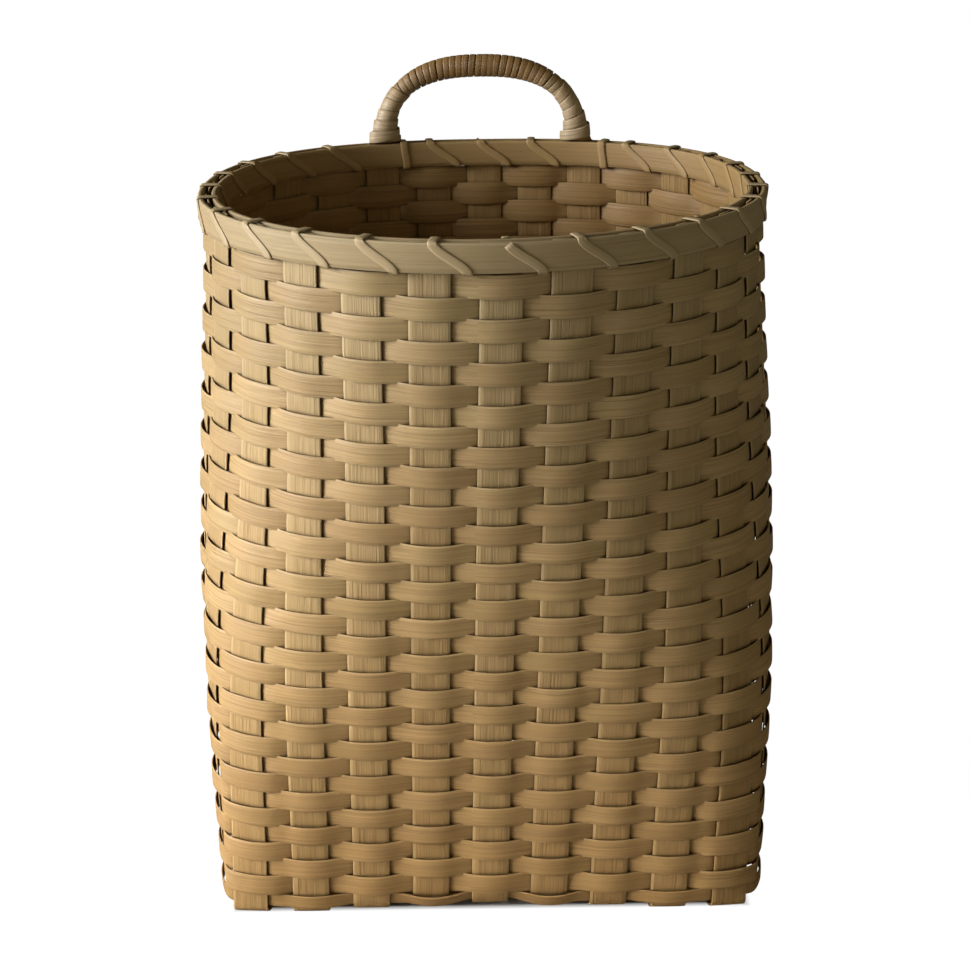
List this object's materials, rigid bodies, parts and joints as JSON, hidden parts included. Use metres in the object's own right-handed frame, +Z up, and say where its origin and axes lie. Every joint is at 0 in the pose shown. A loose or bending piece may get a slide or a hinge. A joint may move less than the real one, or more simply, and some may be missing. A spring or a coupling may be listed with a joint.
{
  "type": "woven splint basket",
  "caption": "Tall plain-woven splint basket with a rectangular plaited base, oval mouth, lashed double rim and a fixed wrapped loop handle at the back.",
  "frame": {"origin": "on the floor under the centre of the base", "axes": "+Z up; the front faces -Y and the handle stands on the back rim at +Y"},
  "size_m": [0.3746, 0.3358, 0.5206],
  "materials": {
    "stake_splint": "raw split wood",
    "weaver_splint": "raw split wood",
    "rim_band": "smooth raw wood",
    "lashing_strip": "smooth raw wood",
    "handle_wood": "raw wood",
    "handle_strip": "smooth bark-side strip"
  },
  "bodies": {
    "root": {"front_stake_1": "stake_splint", "front_stake_2": "stake_splint", "front_stake_3": "stake_splint", "front_stake_4": "stake_splint", "front_stake_5": "stake_splint", "front_stake_6": "stake_splint", "front_stake_7": "stake_splint", "front_stake_8": "stake_splint", "front_stake_9": "stake_splint", "side_stake_1": "stake_splint", "side_stake_2": "stake_splint", "side_stake_3": "stake_splint", "side_stake_4": "stake_splint", "side_stake_5": "stake_splint", "weaver_01": "weaver_splint", "weaver_02": "weaver_splint", "weaver_03": "weaver_splint", "weaver_04": "weaver_splint", "weaver_05": "weaver_splint", "weaver_06": "weaver_splint", "weaver_07": "weaver_splint", "weaver_08": "weaver_splint", "weaver_09": "weaver_splint", "weaver_10": "weaver_splint", "weaver_11": "weaver_splint", "weaver_12": "weaver_splint", "weaver_13": "weaver_splint", "weaver_14": "weaver_splint", "weaver_15": "weaver_splint", "weaver_16": "weaver_splint", "weaver_17": "weaver_splint", "weaver_18": "weaver_splint", "weaver_19": "weaver_splint", "weaver_20": "weaver_splint", "weaver_21": "weaver_splint", "weaver_22": "weaver_splint", "weaver_23": "weaver_splint", "weaver_24": "weaver_splint", "weaver_25": "weaver_splint", "weaver_26": "weaver_splint", "weaver_27": "weaver_splint", "weaver_28": "weaver_splint", "weaver_29": "weaver_splint", "weaver_30": "weaver_splint", "weaver_31": "weaver_splint", "weaver_32": "weaver_splint", "weaver_33": "weaver_splint", "weaver_34": "weaver_splint", "rim_row": "weaver_splint", "outer_rim_band": "rim_band", "inner_rim_band": "rim_band", "right_rim_lashing": "lashing_strip", "left_rim_lashing": "lashing_strip", "handle_core": "handle_wood", "handle_wrap": "handle_strip"}
  },
  "joints": []
}
